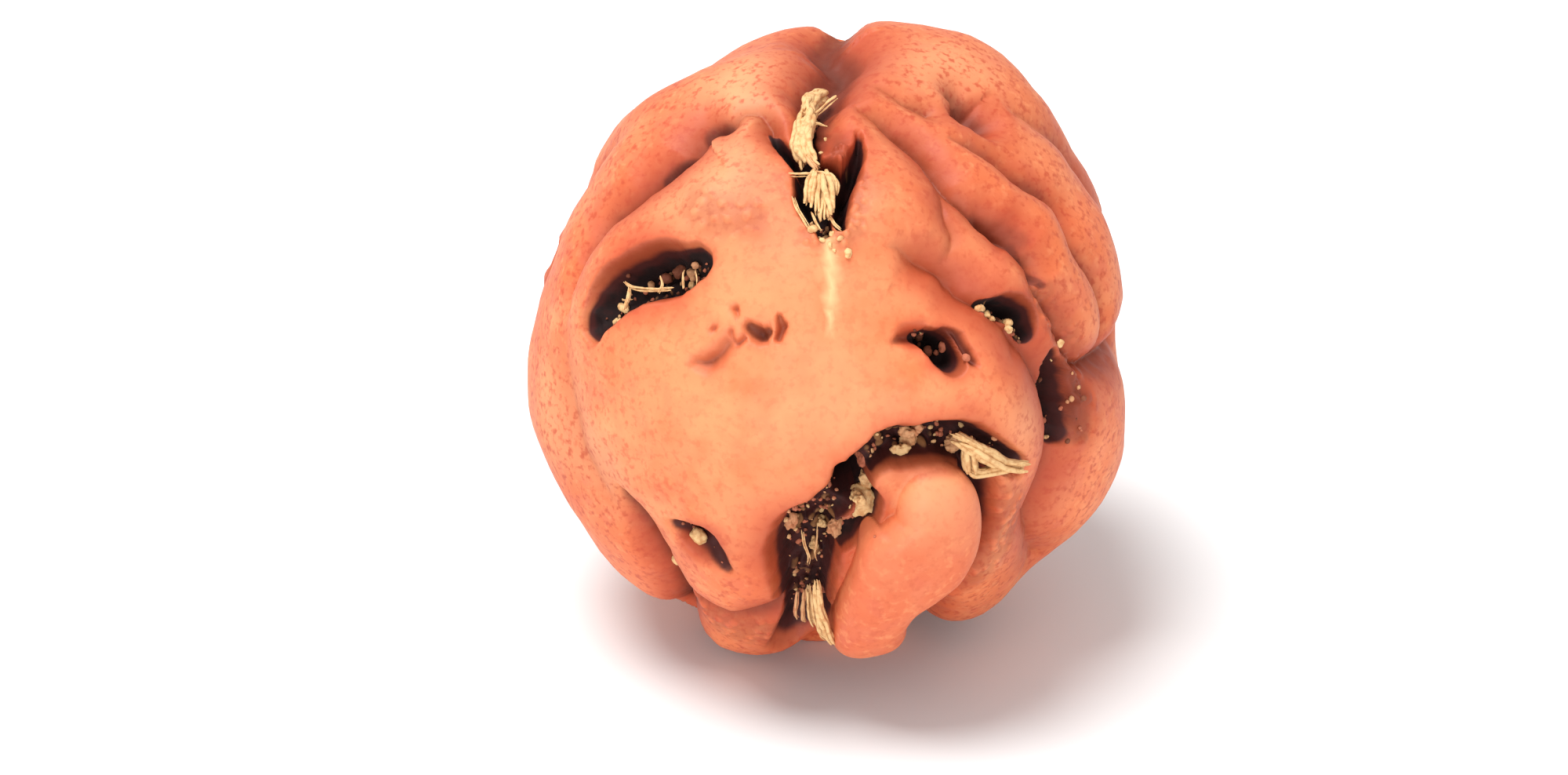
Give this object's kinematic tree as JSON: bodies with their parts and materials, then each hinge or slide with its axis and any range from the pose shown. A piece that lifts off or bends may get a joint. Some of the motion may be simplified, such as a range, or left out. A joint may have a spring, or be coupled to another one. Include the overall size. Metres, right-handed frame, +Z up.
{
  "type": "rudraksha bead",
  "caption": "Natural rudraksha seed stone, a lumpy round bead with furrows, pits, a fibrous stem cleft and a trunk-like lobe on its front, resting on a small flat spot.",
  "frame": {"origin": "middle of the small flat spot that the bead rests on", "axes": "+Z up, towards the stem cleft; -Y towards the front, where the trunk-like lobe is; +X to the right as seen from the front"},
  "size_m": [0.0217, 0.0226, 0.0216],
  "materials": {
    "stone": "matt, smooth and slightly waxy on the lobes, rough and dark in the pits",
    "fibre": "dry pale pulp fibre"
  },
  "bodies": {
    "root": {"bead": "stone", "cleft_fibre": "fibre", "gap_fibre": "fibre"}
  },
  "joints": []
}
